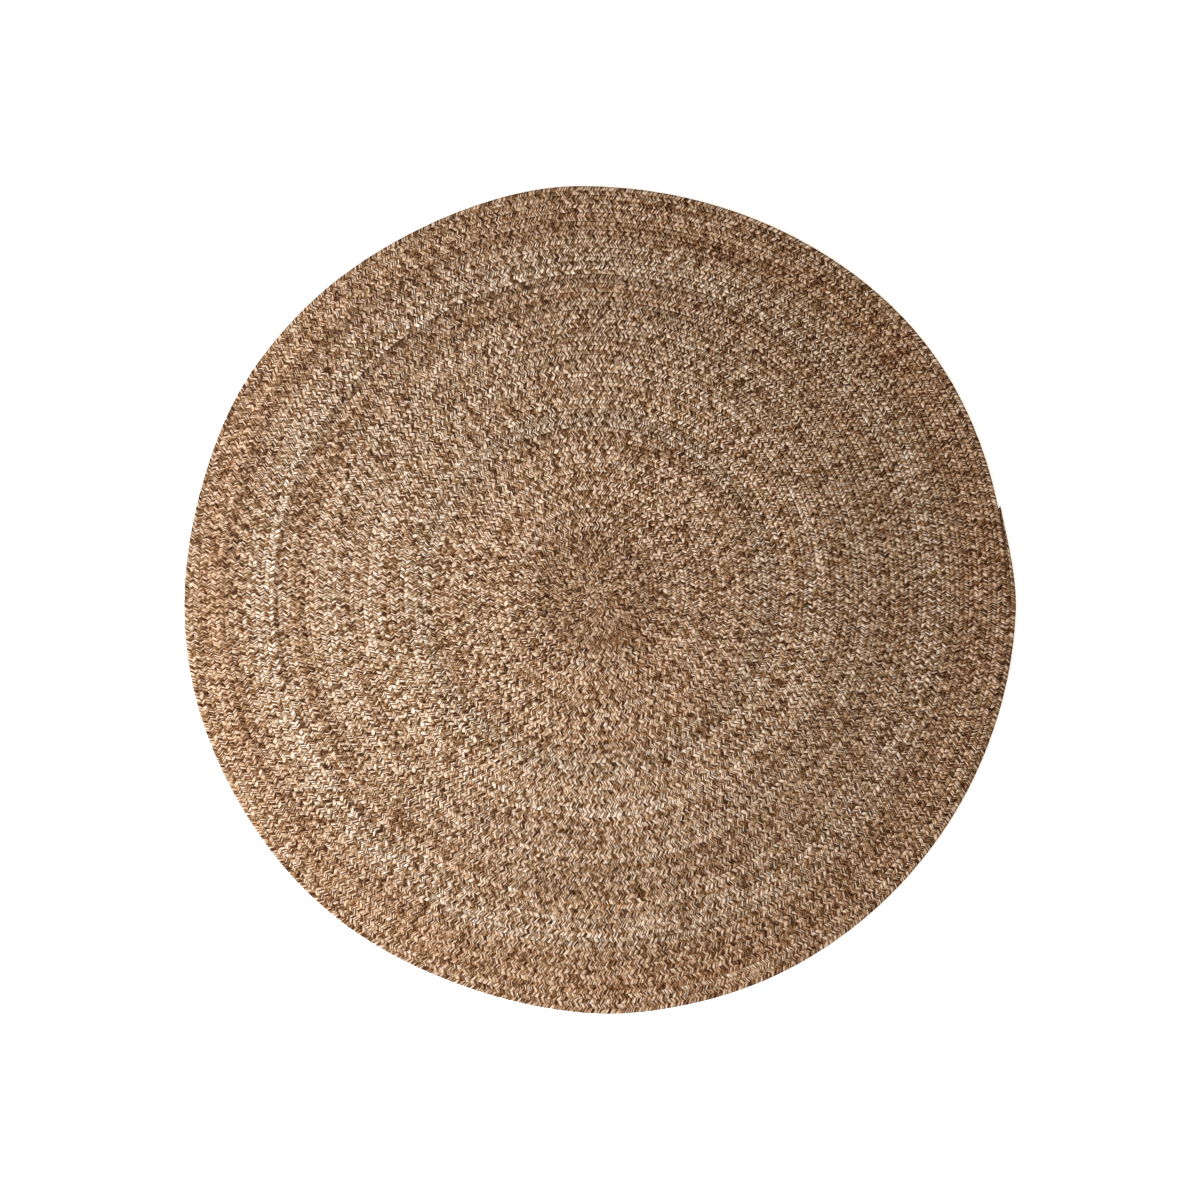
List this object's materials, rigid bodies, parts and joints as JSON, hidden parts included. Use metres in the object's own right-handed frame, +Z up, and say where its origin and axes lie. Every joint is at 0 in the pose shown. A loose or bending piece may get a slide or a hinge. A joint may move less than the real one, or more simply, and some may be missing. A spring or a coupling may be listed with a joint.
{
  "type": "round braided rug",
  "caption": "Round flat rug of one long three-strand braid of heathered plastic yarn, coiled in a spiral and joined edge to edge.",
  "frame": {"origin": "middle of the rug's flat underside, on the floor", "axes": "+Z up out of the floor, +X to the right and +Y to the top of the rug as seen from above; the braid's tucked end lies about 10 degrees counter-clockwise from +X"},
  "size_m": [1.8032, 1.797, 0.011],
  "materials": {
    "braid": "heathered plastic yarn in tan, beige, cream, brown, grey and rust, braided in chevrons"
  },
  "bodies": {
    "root": {"rug": "braid"}
  },
  "joints": []
}
